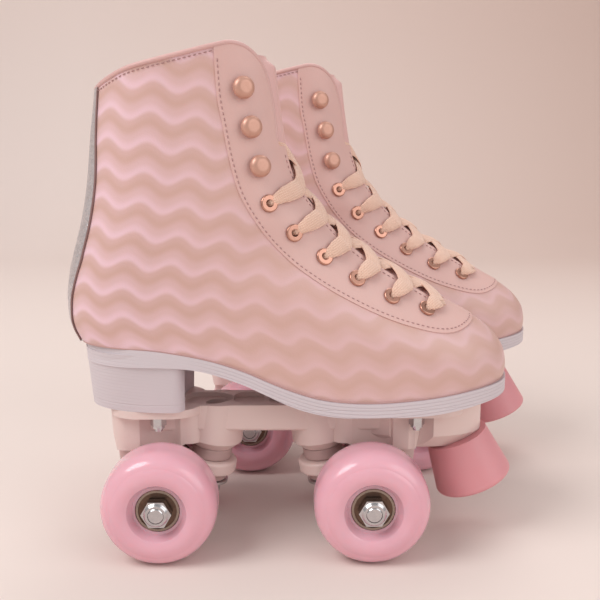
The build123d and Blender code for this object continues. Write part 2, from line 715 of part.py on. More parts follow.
def make_bearings():
    """Two shielded ball bearings and the spacer between them."""
    face = WHEEL_WIDTH / 2 - BEARING_RECESS
    with BuildPart() as bearings:
        for middle in (-face + BEARING_WIDTH / 2, face - BEARING_WIDTH / 2):
            with Locations(Plane.XZ.offset(middle)):
                Cylinder(BEARING_RADIUS, BEARING_WIDTH)
        chamfer(bearings.edges().filter_by(GeomType.CIRCLE), 0.4)
        for side in (-1, 1):
            with BuildSketch(Plane.XZ.offset(side * face)):
                Circle(9.5)
                Circle(6.1, mode=Mode.SUBTRACT)
            extrude(amount=-side * 0.5, mode=Mode.SUBTRACT)
        with Locations(Plane.XZ):
            Cylinder(6, 2 * (face - BEARING_WIDTH) - 0.1)
            Cylinder(BORE_RADIUS + 0.02, 60, mode=Mode.SUBTRACT)
    return bearings.part


def on_wheel(piece, x, y):
    """A wheel's piece, moved from the origin to its place on an axle."""
    return Location((x, y, WHEEL_RADIUS)) * piece


def skate_nodes():
    """Every node of the right skate, by name, in its own frame."""
    outsole = make_outsole()
    kingpin, cup, cushions = make_kingpin(), make_pivot_cup(), make_cushions()
    hanger, axle, axle_nuts = make_hanger(), make_axle(), make_axle_nuts()
    wheel, bearings = make_wheel(), make_bearings()
    nodes = {
        "upper": make_upper(),
        "backstay": make_backstay(),
        "tongue": make_tongue(),
        "footbed": make_footbed(),
        "outsole": outsole,
        "eyelets": make_eyelets(),
        "lace_hooks": make_lace_hooks(),
        "lace": make_lace(),
        "plate": make_plate(outsole),
        "mounting_bolts": make_mounting_bolts(),
        "toe_stop": make_toe_stop(),
        "toe_stop_bolt": make_toe_stop_bolt(),
        "kingpins": combined([kingpin, to_front(kingpin)]),
        "pivot_cups": combined([cup, to_front(cup)]),
        "rear_cushions": cushions,
        "front_cushions": to_front(cushions),
        "rear_truck": hanger,
        "front_truck": to_front(hanger),
        "rear_axle": axle,
        "front_axle": to_front(axle),
        "rear_axle_nuts": axle_nuts,
        "front_axle_nuts": to_front(axle_nuts),
    }
    for end, x in (("rear", 0), ("front", WHEELBASE)):
        for side, y in (("outer", -TRACK_HALF), ("inner", TRACK_HALF)):
            nodes[f"{end}_{side}_wheel"] = on_wheel(wheel, x, y)
            nodes[f"{end}_{side}_bearings"] = on_wheel(bearings, x, y)
    return nodes


def write_node(name, piece, x, y):
    """One node, moved into the pair's frame and written as a STEP file."""
    with BuildPart() as node:
        with Locations((x, y, 0)):
            add(piece)
    node.part.label = name
    export_step(node.part, f"parts/{name}.step")


kingpin_room = make_kingpin_room()
os.makedirs("parts", exist_ok=True)
for node_name, right_piece in skate_nodes().items():
    write_node(f"right_{node_name}", right_piece, RIGHT_X, RIGHT_Y)
    left_piece = mirror(right_piece, about=Plane.XZ)
    write_node(f"left_{node_name}", left_piece, RIGHT_X + STAGGER, -RIGHT_Y)
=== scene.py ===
"""The looks of a pair of quad roller skates: quilt-printed leatherette boots, woven laces, cast wheels.

Each boot is worked out in its skate's own frame in millimetres, as in the CAD model: +X to the toe,
+Y to the inner side of a right foot, +Z up, X zero at the rear axle and Z zero on the ground.
"""
import math

import bpy
import numpy as np
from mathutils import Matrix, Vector


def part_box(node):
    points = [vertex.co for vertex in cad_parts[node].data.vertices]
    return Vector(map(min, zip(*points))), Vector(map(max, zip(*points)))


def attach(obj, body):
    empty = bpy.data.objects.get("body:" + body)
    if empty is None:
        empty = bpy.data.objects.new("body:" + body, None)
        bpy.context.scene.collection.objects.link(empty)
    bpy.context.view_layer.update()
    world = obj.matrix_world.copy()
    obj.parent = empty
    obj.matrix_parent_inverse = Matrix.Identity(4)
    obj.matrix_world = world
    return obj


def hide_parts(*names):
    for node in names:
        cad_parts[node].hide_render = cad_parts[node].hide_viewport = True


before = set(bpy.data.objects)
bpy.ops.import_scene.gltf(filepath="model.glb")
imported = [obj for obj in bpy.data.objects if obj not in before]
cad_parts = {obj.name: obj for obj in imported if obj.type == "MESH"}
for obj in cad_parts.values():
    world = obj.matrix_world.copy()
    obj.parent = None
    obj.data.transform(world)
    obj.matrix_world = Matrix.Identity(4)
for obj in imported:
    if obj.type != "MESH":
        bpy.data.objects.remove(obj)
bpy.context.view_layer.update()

MM = 0.001

# The boot's form, as in the CAD model: (height, value) knots
BACK = [(70, -38), (100, -40.5), (108, -43.5), (114, -46.5), (120, -48), (128, -48.3), (141, -46.8),
        (152, -44), (168, -39.5), (186, -36), (210, -33.2), (232, -30.2), (270, -26)]
FRONT = [(70, 176), (86, 178.3), (93, 178.9), (100, 177.8), (107, 173.8), (113, 167.5), (118, 160),
         (123, 151), (129, 141), (136, 129.5), (145, 114.5), (155, 100.5), (165, 88.5), (175, 79),
         (185, 71.5), (195, 67), (205, 64.5), (220, 62), (240, 59.5), (270, 57)]
HEEL_HALF = [(70, 28.5), (110, 30), (130, 31), (160, 32), (200, 31.5), (270, 30.5)]
BALL_HALF = [(70, 36.5), (100, 37), (120, 36), (140, 35), (170, 33), (200, 31.5), (270, 30.5)]
FRONT_TAPER = [(70, 58), (95, 60), (107, 66), (120, 78), (140, 90), (155, 80), (170, 58), (185, 46),
               (200, 42), (270, 42)]
BACK_TAPER = [(70, 33), (130, 34), (200, 36), (270, 36)]
FRONT_FULLNESS = [(70, 2.4), (100, 2.3), (122, 2.0), (150, 2.0), (175, 2.35), (270, 2.35)]
TOE_INSET = 4.0
# Side outlines, as (x, z)
SOLE_TOP = [(-60, 106.5), (-30, 107), (-8, 106.2), (13, 103.2), (28, 99.8), (43, 95), (57, 89.2),
            (70, 84.6), (80, 82), (91, 80.5), (107, 79.8), (125, 80.8), (142, 82.5), (156, 84.4),
            (172, 86.2), (195, 88)]
SOLE_BOTTOM = [(-60, 97), (0, 97.5), (22, 95.2), (35, 91.3), (49, 86), (62, 79.8), (72, 76.4), (83, 74),
               (95, 73), (107, 73), (128, 73), (142, 74.2), (156, 76.3), (172, 78.7), (195, 82)]
COLLAR = [(-60, 224), (-36, 229.5), (-26, 234.5), (-12, 240.8), (1, 244.2), (15, 247.6), (30, 251.3),
          (38, 252.8), (45, 251), (51, 245.6), (54.5, 238.5), (57.5, 226), (60, 205)]
STITCH = [(31, 262), (32.7, 230), (35, 216), (38.3, 198.4), (43.2, 182), (53.5, 165), (65.8, 151.5),
          (80.5, 140.5), (98, 130.5), (115.7, 122.3), (133.5, 116.6), (144, 114.9), (152, 115.8),
          (160, 119), (166, 126)]
BACKSTAY_HALF = [(100, 11), (108, 12.5), (128, 16.5), (152, 21), (185, 20), (232, 14.5), (262, 12)]
EYELETS = [(55.1, 177.8), (67.1, 163.5), (81.9, 151.2), (98.1, 140.2), (115.5, 131), (133.6, 124.1)]
HOOKS = [(42.7, 231.6), (46.1, 213.6), (50.1, 195.3)]
THROAT_HALF = 12.0
THROAT_END = 134.0  # where the throat's round lower end has its centre
THROAT_TOP_X = 20.0  # behind this the throat doesn't cut the collar
WALL = 3.2
FACING = 0.55  # how far the facing stands on the quarters
FACING_HEM = 1.3  # from the facing's stitches to its edge
FACING_INSET = 2.4  # from the throat's edge to its stitches
COLLAR_INSET = 2.9  # from the collar's edge to its stitches
EYELET_HOLE = 2.45  # radius
TONGUE_TOP = 248.0
TONGUE_HALF = 18.5
TONGUE_PAD = 4.3
TONGUE_SINK = 5.0  # how far under the boot's form the tongue's sides lie
TONGUE_BACK = [(34, 275), (34, 230), (38, 200), (48, 172), (72, 146), (98, 132), (128, 119), (149, 112)]
TONGUE_LEAN = [(110, 0.35), (125, 0.5), (150, 0.6), (175, 0.8), (200, 0.97), (260, 1.0)]
SOLE_LAP = 0.7  # how far inside the form the darker cord along the sole lies, a painted shadow line
LACE_WIDTH = ((0, 0.09, 0.14, 0.22, 0.3, 1), (2.8, 3.2, 5.2, 8.0, 9.0, 9.0))  # along its way
LACE_THICKNESS = ((0, 0.1, 0.2, 1), (2.0, 1.8, 1.3, 1.15))
PRINT_RISE = 0.11  # the print's bands climb this much per millimetre towards the toe


def between(knots, t):
    """A smooth curve through (t, value) knots that never overshoots them; t may be an array."""
    t0, v0 = np.array(knots, float).T
    slopes = np.diff(v0) / np.diff(t0)
    left, right = slopes[:-1], slopes[1:]
    same = left * right > 0
    bends = np.where(same, 2 * left * right / np.where(same, left + right, 1), 0)
    bends = np.concatenate([slopes[:1], bends, slopes[-1:]])
    t = np.clip(t, t0[0], t0[-1])
    i = np.clip(np.searchsorted(t0, t, side="right") - 1, 0, len(t0) - 2)
    span = t0[i + 1] - t0[i]
    s = (t - t0[i]) / span
    return ((1 + 2 * s) * (1 - s) ** 2 * v0[i] + s * (1 - s) ** 2 * span * bends[i]
            + s * s * (3 - 2 * s) * v0[i + 1] - s * s * (1 - s) * span * bends[i + 1])


def fullness(share, power):
    share = np.clip(share, 0, 1)
    return (1 - (1 - share) ** power) ** (1 / power)


def step(share):
    share = np.clip(share, 0, 1)
    return share * share * (3 - 2 * share)


def centre_line(x):
    return TOE_INSET * step((x - 20) / 150)


def ends(z, grow):
    out = []
    for knots, sign in ((BACK, -1), (FRONT, 1)):
        slope = (between(knots, z + 1) - between(knots, z - 1)) / 2
        out.append(between(knots, z) + sign * grow * np.hypot(1, slope))
    return out


def half_width(x, z, grow=0.0):
    """Half the boot's width at x on the section at height z."""
    back, front = ends(z, grow)
    heel_half, ball_half = between(HEEL_HALF, z), between(BALL_HALF, z)
    widest = heel_half + (ball_half - heel_half) * step((x - 20) / 80)
    heel = fullness((x - back) / (between(BACK_TAPER, z) + grow), 2.1)
    toe = fullness((front - x) / (between(FRONT_TAPER, z) + grow), between(FRONT_FULLNESS, z))
    return (widest + grow) * heel * toe


def normal_at(x, z, y_sign, y):
    """The form's outward direction at a point of its side."""
    def gap(px, py, pz):
        return y_sign * (py - centre_line(px)) - half_width(px, pz)
    d = 0.4
    n = np.array([gap(x + d, y, z) - gap(x - d, y, z), gap(x, y + d, z) - gap(x, y - d, z),
                  gap(x, y, z + d) - gap(x, y, z - d)])
    return n / np.linalg.norm(n)


def form_mesh(grow, low, high, rows, columns):
    """The boot's form between two heights, as points with their place in the print, and quads."""
    t = (1 - np.cos(np.pi * np.arange(columns + 1) / columns)) / 2
    points = []
    for z in np.linspace(low, high, rows + 1):
        back, front = ends(z, grow)
        x = back + (front - back) * t
        w = half_width(x, z, grow)
        around = np.concatenate([[0], np.cumsum(np.hypot(np.diff(x), np.diff(w)))])
        y = centre_line(x)
        right = np.stack([x, y - w, np.full_like(x, z), around], 1)
        left = np.stack([x, y + w, np.full_like(x, z), around], 1)[-2:0:-1]
        points.append(np.concatenate([right, left]))
    ring = len(points[0])
    faces = [(r * ring + k, r * ring + (k + 1) % ring, (r + 1) * ring + (k + 1) % ring,
              (r + 1) * ring + k) for r in range(rows) for k in range(ring)]
    return np.concatenate(points), faces


def clip(points, faces, field):
    """The part of a mesh where field is positive, cut along field = 0."""
    rows, cut, kept = list(points), {}, []
    for face in faces:
        inside = [field[i] > 0 for i in face]
        if all(inside):
            kept.append(face)
        elif any(inside):
            out = []
            for a, b in zip(face, face[1:] + face[:1]):
                if field[a] > 0:
                    out.append(a)
                if (field[a] > 0) != (field[b] > 0):
                    key = (min(a, b), max(a, b))
                    if key not in cut:
                        share = field[key[0]] / (field[key[0]] - field[key[1]])
                        cut[key] = len(rows)
                        rows.append(rows[key[0]] + share * (rows[key[1]] - rows[key[0]]))
                    out.append(cut[key])
            if len(out) > 2:
                kept.append(tuple(out))
    used = sorted({i for face in kept for i in face})
    new = {old: i for i, old in enumerate(used)}
    return np.array([rows[i] for i in used]), [tuple(new[i] for i in face) for face in kept]


def signed_distance(x, z, line):
    """Distance in side view from an (x, z) line; positive on its left, going along it."""
    best, sign = np.full(x.shape, 1e9), np.ones(x.shape)
    for (ax, az), (bx, bz) in zip(line, line[1:]):
        ux, uz = bx - ax, bz - az
        share = np.clip(((x - ax) * ux + (z - az) * uz) / (ux * ux + uz * uz), 0, 1)
        dx, dz = x - ax - share * ux, z - az - share * uz
        d = np.hypot(dx, dz)
        cross = ux * (z - az) - uz * (x - ax)
        closer = d < best
        best, sign = np.where(closer, d, best), np.where(closer, np.sign(cross), sign)
    return best * sign


def smooth_line(knots, count):
    """A Catmull-Rom line through points, as count points per span."""
    k = np.array(knots, float)
    k = np.vstack([2 * k[0] - k[1], k, 2 * k[-1] - k[-2]])
    out = []
    for a, b, c, d in zip(k, k[1:], k[2:], k[3:]):
        for s in np.linspace(0, 1, count, endpoint=False):
            out.append(0.5 * (2 * b + (c - a) * s + (2 * a - 5 * b + 4 * c - d) * s ** 2
                              + (3 * b - a - 3 * c + d) * s ** 3))
    out.append(k[-2])
    return np.array(out)


STITCH_LINE = [tuple(p) for p in smooth_line(STITCH, 6)]
COLLAR_LINE = [tuple(p) for p in smooth_line(COLLAR, 6)] + [(120, 205)]


def throat_gap(x, y, z):
    """How far a point of the front lies outside the throat; negative inside it."""
    sideways = np.abs(y - centre_line(x))
    beyond = np.hypot(sideways, np.maximum(x - THROAT_END, 0))
    return np.where((x < THROAT_TOP_X) | (z < 100), 99.0, beyond - THROAT_HALF)


# Placing: each skate's own frame in the row frame
def skate_frame(side):
    rear_out, rear_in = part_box(f"{side}_rear_outer_wheel"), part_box(f"{side}_rear_inner_wheel")
    x = (rear_out[0].x + rear_out[1].x) / 2
    y = (rear_out[0].y + rear_out[1].y + rear_in[0].y + rear_in[1].y) / 4
    return x, y, (1 if side == "right" else -1)


def to_row(side, points):
    x, y, mirrored = skate_frame(side)
    p = np.array(points, float)[:, :3] * MM
    return np.stack([p[:, 0] + x, mirrored * p[:, 1] + y, p[:, 2]], 1)


def add_mesh(name, side, points, faces, material, sharp=None):
    """A mesh piece on one skate, from millimetres in the skate's frame."""
    mesh = bpy.data.meshes.new(name)
    if side == "left":
        faces = [tuple(reversed(f)) for f in faces]
    mesh.from_pydata([tuple(p) for p in to_row(side, points)], [], faces)
    points = np.array(points)
    if points.shape[1] > 3:
        attribute = mesh.attributes.new("print", "FLOAT_VECTOR", "POINT")
        risen = points[:, 2] + PRINT_RISE * np.minimum(points[:, 0], 90)
        data = np.stack([points[:, 3], risen, points[:, 0]], 1)
        attribute.data.foreach_set("vector", (data * MM).astype(np.float32).ravel())
    for item in material if isinstance(material, (list, tuple)) else [material]:
        mesh.materials.append(item)
    obj = bpy.data.objects.new(name, mesh)
    bpy.context.scene.collection.objects.link(obj)
    mesh.polygons.foreach_set("use_smooth", [True] * len(mesh.polygons))
    if sharp:
        mesh.set_sharp_from_angle(angle=math.radians(sharp))
    return obj


def apply_modifiers(obj):
    bpy.context.view_layer.update()
    evaluated = obj.evaluated_get(bpy.context.evaluated_depsgraph_get())
    mesh = bpy.data.meshes.new_from_object(evaluated)
    obj.modifiers.clear()
    obj.data = mesh


def thicken(obj, thickness, rim_material=0, inner_material=0, sharp=40):
    solid = obj.modifiers.new("wall", "SOLIDIFY")
    solid.thickness = thickness * MM
    solid.offset = -1
    solid.use_even_offset = False
    solid.material_offset = inner_material
    solid.material_offset_rim = rim_material
    apply_modifiers(obj)
    obj.data.set_sharp_from_angle(angle=math.radians(sharp))


def tube_mesh(path, normals, section):
    """A closed strip along a path: section(share) gives its outline as (across, out) points."""
    path = np.array(path, float)
    tangent = np.gradient(path, axis=0)
    tangent /= np.linalg.norm(tangent, axis=1)[:, None]
    points, faces = [], []
    for i, (p, t, n) in enumerate(zip(path, tangent, normals)):
        across = np.cross(t, n)
        across /= np.linalg.norm(across)
        out = np.cross(across, t)
        outline = section(i / (len(path) - 1))
        points += [p + across * a + out * b for a, b in outline]
    count = len(outline)
    for i in range(len(path) - 1):
        for k in range(count):
            n = (k + 1) % count
            faces.append((i * count + k, (i + 1) * count + k, (i + 1) * count + n, i * count + n))
    faces.append(tuple(range(count)))
    faces.append(tuple(reversed(range((len(path) - 1) * count, len(path) * count))))
    return np.array(points), faces


def oval(width, height, count=12, power=2.0):
    """An oval outline, squarer with a higher power."""
    out = []
    for k in range(count):
        a = 2 * math.pi * k / count
        c, s = math.cos(a), math.sin(a)
        out.append((width / 2 * math.copysign(abs(c) ** (2 / power), c),
                    height / 2 * math.copysign(abs(s) ** (2 / power), s)))
    return out


def joined(parts):
    """Several (points, faces) as one."""
    points, faces, base = [], [], 0
    for p, f in parts:
        points.append(np.array(p)[:, :3])
        faces += [tuple(i + base for i in face) for face in f]
        base += len(p)
    return np.concatenate(points), faces


# ---------------------------------------------------------------- materials
class Nodes:
    """A short way to write a node tree."""

    def __init__(self, name):
        self.material = bpy.data.materials.new(name)
        self.material.use_nodes = True
        self.tree = self.material.node_tree
        self.shader = self.tree.nodes["Principled BSDF"]

    def add(self, kind, inputs=(), **settings):
        node = self.tree.nodes.new(kind)
        for key, value in settings.items():
            setattr(node, key, value)
        for key, value in dict(inputs).items():
            if isinstance(value, bpy.types.NodeSocket):
                self.tree.links.new(value, node.inputs[key])
            else:
                node.inputs[key].default_value = value
        return node

    def place(self):
        return self.add("ShaderNodeTexCoord").outputs["Object"]

    def math(self, operation, a, b=0.0, c=0.0):
        return self.add("ShaderNodeMath", {0: a, 1: b, 2: c}, operation=operation).outputs[0]

    def noise(self, scale, detail=3.0, rough=0.5, vector=None):
        return self.add("ShaderNodeTexNoise", {"Vector": vector or self.place(), "Scale": scale,
                                               "Detail": detail, "Roughness": rough}).outputs[0]

    def ramp(self, value, stops, smooth=False):
        node = self.add("ShaderNodeValToRGB", {0: value})
        ramp = node.color_ramp
        ramp.interpolation = "EASE" if smooth else "LINEAR"
        while len(ramp.elements) < len(stops):
            ramp.elements.new(0.5)
        for element, (at, colour) in zip(ramp.elements, stops):
            element.position = at
            element.color = (*colour, 1)
        return node.outputs[0]

    def mix(self, share, a, b):
        return self.add("ShaderNodeMix", {"Factor": share, 6: a, 7: b}, data_type="RGBA").outputs[2]

    def bump(self, height, depth, strength=1.0, normal=None):
        inputs = {"Height": height, "Distance": depth, "Strength": strength}
        if normal is not None:
            inputs["Normal"] = normal
        return self.add("ShaderNodeBump", inputs).outputs[0]

    def range(self, value, low, high):
        return self.add("ShaderNodeMapRange", {"Value": value, "To Min": low, "To Max": high}).outputs[0]

    def set(self, **inputs):
        names = {"colour": "Base Color", "rough": "Roughness", "metal": "Metallic", "normal": "Normal",
                 "sheen": "Sheen Weight", "sheen_rough": "Sheen Roughness",
                 "coat": "Coat Weight", "coat_rough": "Coat Roughness", "specular": "Specular IOR Level",
                 "under": "Subsurface Weight", "under_scale": "Subsurface Scale",
                 "under_radius": "Subsurface Radius"}
        for key, value in inputs.items():
            socket = self.shader.inputs[names[key]]
            if isinstance(value, bpy.types.NodeSocket):
                self.tree.links.new(value, socket)
            else:
                socket.default_value = value
        return self.material


def rgb(r, g, b):
    """A colour given as it looks on a screen, 0 to 255, as the linear one."""
    return tuple(((c / 255 + 0.055) / 1.055) ** 2.4 if c > 10 else c / 3294 for c in (r, g, b))


def rgba(r, g, b):
    return (*rgb(r, g, b), 1)


def grain(nodes):
    """Fine leather grain: small cells with creases between them."""
    cells_per_metre = 1100
    cells = nodes.add("ShaderNodeTexVoronoi", {"Vector": nodes.place(), "Scale": cells_per_metre})
    fine = nodes.noise(cells_per_metre * 2.2)
    return nodes.math("ADD", cells.outputs["Distance"], nodes.math("MULTIPLY", fine, 0.6))


def printed_leather():
    """Pearly leatherette with a soft zigzag print in bands."""
    n = Nodes("printed_leather")
    place = n.add("ShaderNodeAttribute", attribute_name="print").outputs["Vector"]
    along, up, forward = n.add("ShaderNodeSeparateXYZ", {0: place}).outputs
    half_wave, steepness, band_height = 0.0108, 0.72, 0.0142
    wave = n.math("PINGPONG", n.math("ADD", along, 0.004), half_wave)
    rounded = n.math("SMOOTH_MIN", n.math("SMOOTH_MAX", wave, 0.002, 0.004), half_wave - 0.002, 0.004)
    height_of_wave = n.math("MULTIPLY", rounded, steepness)
    band = n.math("FRACT", n.math("DIVIDE", n.math("SUBTRACT", up, height_of_wave), band_height))
    tones = n.ramp(band, [(0.0, (0.2, 0.2, 0.2)), (0.2, (1, 1, 1)), (0.48, (0.5, 0.5, 0.5)),
                          (0.78, (0, 0, 0)), (1.0, (0.2, 0.2, 0.2))], smooth=True)
    # The zigzag print is real; its light lines fading towards the toe are a painted change in the pearly
    # reflection
    fade = n.add("ShaderNodeMapRange", {"Value": forward, "From Min": -0.02, "From Max": 0.06,
                                        "To Min": 0.8, "To Max": 0.35}).outputs[0]
    base = n.mix(n.noise(14, 2), rgba(204, 165, 153), rgba(213, 174, 165))
    colour = n.mix(n.math("MULTIPLY", tones, fade), base, rgba(240, 204, 216))
    normal = n.bump(grain(n), 0.00012, 0.35)
    return n.set(colour=colour, rough=n.range(n.noise(60), 0.36, 0.5), normal=normal, coat=0.22,
                 coat_rough=0.34, under=0.05, under_scale=0.002, under_radius=(1, 0.5, 0.4))


def leather(name, low, high):
    """Plain leatherette with a fine grain."""
    n = Nodes(name)
    colour = n.mix(n.noise(18, 3), rgba(*low), rgba(*high))
    normal = n.bump(grain(n), 0.00012, 0.35)
    return n.set(colour=colour, rough=n.range(n.noise(60), 0.38, 0.52), normal=normal, coat=0.2,
                 coat_rough=0.35, under=0.06, under_scale=0.002, under_radius=(1, 0.5, 0.4))


def glitter():
    """Silver glitter set in a clear skin: many small facets, each turned its own way."""
    n = Nodes("glitter")
    cells = n.add("ShaderNodeTexVoronoi", {"Vector": n.place(), "Scale": 1500})
    tint = n.ramp(n.math("FRACT", n.math("MULTIPLY", cells.outputs["Distance"], 9.7)),
                  [(0, rgb(168, 164, 168)), (0.5, rgb(216, 209, 210)), (1, rgb(250, 246, 247))])
    turned = n.add("ShaderNodeNormalMap", {"Strength": 0.5, "Color": cells.outputs["Color"]})
    turned.space = "OBJECT"
    geometry = n.add("ShaderNodeNewGeometry").outputs["Normal"]
    mixed = n.add("ShaderNodeMix", {"Factor": 0.35, 4: geometry, 5: turned.outputs[0]},
                  data_type="VECTOR").outputs[1]
    normal = n.add("ShaderNodeVectorMath", {0: mixed}, operation="NORMALIZE").outputs[0]
    return n.set(colour=tint, metal=0.75, rough=0.28, normal=normal)


def woven(name, low, high, scale=1200.0):
    """Cloth with a plain weave, from crossed threads in the object's own space."""
    n = Nodes(name)
    place = n.place()
    settings = {"Vector": place, "Scale": scale / 6.28, "Distortion": 1.5, "Detail": 1.0,
                "Detail Scale": 2.0}
    waves = [n.add("ShaderNodeTexWave", settings, bands_direction=axis).outputs["Fac"] for axis in "XYZ"]
    weave = n.math("MULTIPLY", n.math("ADD", n.math("ADD", waves[0], waves[1]), waves[2]), 0.33)
    # Painted shade: the colour darkens where the weave is low, between the threads; the noise adds random
    # tone
    colour = n.mix(n.math("ADD", n.math("MULTIPLY", weave, 0.5), n.math("MULTIPLY", n.noise(90), 0.5)),
                   rgba(*low), rgba(*high))
    return n.set(colour=colour, rough=0.85, normal=n.bump(weave, 0.0003, 0.5), sheen=0.3,
                 sheen_rough=0.5)


def lace_weave():
    """Braided flat lace: rows of small slanting stitches."""
    n = Nodes("lace_weave")
    place = n.add("ShaderNodeAttribute", attribute_name="braid").outputs["Vector"]
    split = n.add("ShaderNodeSeparateXYZ", {0: place})
    across, along = split.outputs[0], split.outputs[1]
    stitch_size = 0.0011
    column = n.math("PINGPONG", n.math("DIVIDE", across, stitch_size), 0.5)
    slanted = n.math("ADD", n.math("DIVIDE", along, stitch_size), n.math("MULTIPLY", column, 1.6))
    stitch = n.math("PINGPONG", slanted, 0.5)
    height = n.math("ADD", n.math("MULTIPLY", stitch, 1.2), column)
    # Painted shade: the colour darkens where the braid's height is low, between the stitches
    colour = n.mix(n.math("MULTIPLY", height, 0.9), rgba(236, 182, 158), rgba(255, 224, 204))
    return n.set(colour=colour, rough=0.82, normal=n.bump(height, 0.0005, 0.8), sheen=0.35,
                 sheen_rough=0.45)


def moulded(name, low, high, rough=(0.35, 0.5), texture=0.25, under=0.0):
    """Moulded plastic or rubber: faint flow marks and a fine matt skin."""
    n = Nodes(name)
    colour = n.mix(n.noise(25, 4), rgba(*low), rgba(*high))
    height = n.math("ADD", n.noise(2500, 2), n.math("MULTIPLY", n.noise(120, 3), 1.5))
    return n.set(colour=colour, rough=n.range(n.noise(40), *rough), normal=n.bump(height, 0.00008, texture),
                 under=under, under_scale=0.006, under_radius=(1, 0.35, 0.35))


def urethane():
    """Cast urethane: glossy and a little translucent, with swirls deep in it."""
    n = Nodes("urethane")
    swirl = n.noise(30, 4, 0.6)
    colour = n.mix(swirl, rgba(226, 167, 182), rgba(234, 183, 195))
    normal = n.bump(n.noise(500, 2), 0.00005, 0.15)
    return n.set(colour=colour, rough=n.range(n.noise(80), 0.16, 0.26), normal=normal, under=0.35,
                 under_scale=0.012, under_radius=(1, 0.3, 0.3), coat=0.35, coat_rough=0.12)


def metal(name, low, high, rough=(0.12, 0.28), scratches=0.2, amount=1.0):
    """Plated metal with faint turning marks."""
    n = Nodes(name)
    marks = n.noise(600, 4, 0.7)
    colour = n.mix(marks, rgba(*low), rgba(*high))
    return n.set(colour=colour, metal=amount, rough=n.range(n.noise(220, 3), *rough),
                 normal=n.bump(marks, 0.00004, scratches))


def ribbed_sole():
    """The outsole's moulded plastic, with fine ribs that run level with its top edge."""
    n = Nodes("sole_plastic")
    place = n.add("ShaderNodeAttribute", attribute_name="rib").outputs["Vector"]
    down, up, forward = n.add("ShaderNodeSeparateXYZ", {0: place}).outputs
    rib_pitch, foot_line = 0.00175, 0.0768
    rib = n.math("PINGPONG", n.math("DIVIDE", down, rib_pitch), 0.5)
    groove = n.ramp(rib, [(0.0, (0, 0, 0)), (0.16, (1, 1, 1)), (1.0, (1, 1, 1))])
    foot = n.ramp(n.math("MULTIPLY", n.math("ABSOLUTE", n.math("SUBTRACT", up, foot_line)), 1000),
                  [(0.0, (0, 0, 0)), (0.4, (1, 1, 1)), (1.0, (1, 1, 1))])
    fade = n.ramp(n.math("MULTIPLY", n.math("ADD", forward, 0.05), 10),
                  [(0.0, (0.55, 0.55, 0.55)), (0.3, (0.4, 0.4, 0.4)), (0.45, (0.08, 0.08, 0.08)),
                   (0.62, (0.08, 0.08, 0.08)), (0.8, (1, 1, 1))])
    ribs = n.math("ADD", n.math("MULTIPLY", groove, fade), n.math("MULTIPLY", foot, 0.8))
    shade = n.math("MULTIPLY", n.math("SUBTRACT", 1.0, groove), n.math("MULTIPLY", fade, 0.35))
    plain = n.mix(n.noise(25, 4), rgba(205, 195, 199), rgba(213, 203, 208))
    colour = n.mix(shade, plain, rgba(168, 150, 158))
    skin = n.bump(n.noise(2500, 2), 0.00008, 0.2)
    normal = n.bump(ribs, 0.00022, 0.6, skin)
    return n.set(colour=colour, rough=n.range(n.noise(40), 0.42, 0.55), normal=normal, under=0.04,
                 under_scale=0.003, under_radius=(1, 0.6, 0.6))


def backdrop_paper():
    """Matt studio paper with painted shade: darker and pinker towards one side and up the wall."""
    n = Nodes("backdrop_paper")
    across, away, up = n.add("ShaderNodeSeparateXYZ", {0: n.place()}).outputs
    side = n.add("ShaderNodeMapRange", {"Value": across, "From Min": -0.5, "From Max": 0.9}).outputs[0]
    wall = n.add("ShaderNodeMapRange", {"Value": away, "From Min": 0.1, "From Max": 1.2}).outputs[0]
    floor = n.mix(side, rgba(232, 221, 215), rgba(226, 212, 205))
    # Painted shade: the paper gets darker up the wall and towards one side, where the light falls off
    deep = n.mix(side, rgba(226, 212, 206), rgba(200, 174, 163))
    clouds = n.math("MULTIPLY", n.noise(1.2, 2), 0.25)
    colour = n.mix(clouds, n.mix(wall, floor, deep), rgba(222, 204, 196))
    return n.set(colour=colour, rough=0.9, normal=n.bump(n.noise(300, 3), 0.0002, 0.2), specular=0.2)


PRINTED = printed_leather()
PLAIN = leather("plain_leather", (214, 174, 167), (223, 185, 178))
BINDING = leather("binding_leather", (210, 168, 163), (219, 179, 174))
GLITTER = glitter()
EDGE_THREAD = moulded("edge_cord", (128, 98, 96), (150, 118, 114))
# A darker cord along the sole's top edge: painted shadow where the upper meets the sole
SOLE_SHADOW_CORD = leather("sole_shadow_cord", (186, 146, 141), (198, 158, 153))
THREAD = woven("sewing_thread", (168, 124, 122), (190, 148, 145), 5000)
LINING = woven("lining_cloth", (206, 170, 162), (220, 186, 178))
TONGUE_CLOTH = leather("tongue_leather", (216, 172, 168), (228, 188, 184))
LACE = lace_weave()
SOLE = ribbed_sole()
NYLON = moulded("plate_nylon", (220, 196, 190), (229, 207, 201), (0.3, 0.42), under=0.06)
STOP = moulded("toe_stop_rubber", (214, 143, 149), (224, 157, 163), (0.38, 0.5), 0.3, under=0.15)
CUSHION = moulded("cushion_rubber", (178, 150, 146), (192, 164, 160), (0.5, 0.6))
WHEEL = urethane()
SHIELD = metal("bearing_shield", (86, 66, 56), (120, 96, 82), (0.25, 0.4), 0.3, 0.85)
RACE = metal("bearing_race", (136, 122, 112), (164, 150, 138), (0.2, 0.34), 0.2)
STEEL = metal("plated_steel", (176, 176, 180), (214, 212, 212))
EYELET = metal("copper_eyelet", (184, 134, 116), (206, 158, 140), (0.24, 0.38))
HOOK = metal("painted_hook", (196, 148, 130), (210, 164, 146), (0.34, 0.46), 0.3, 0.4)

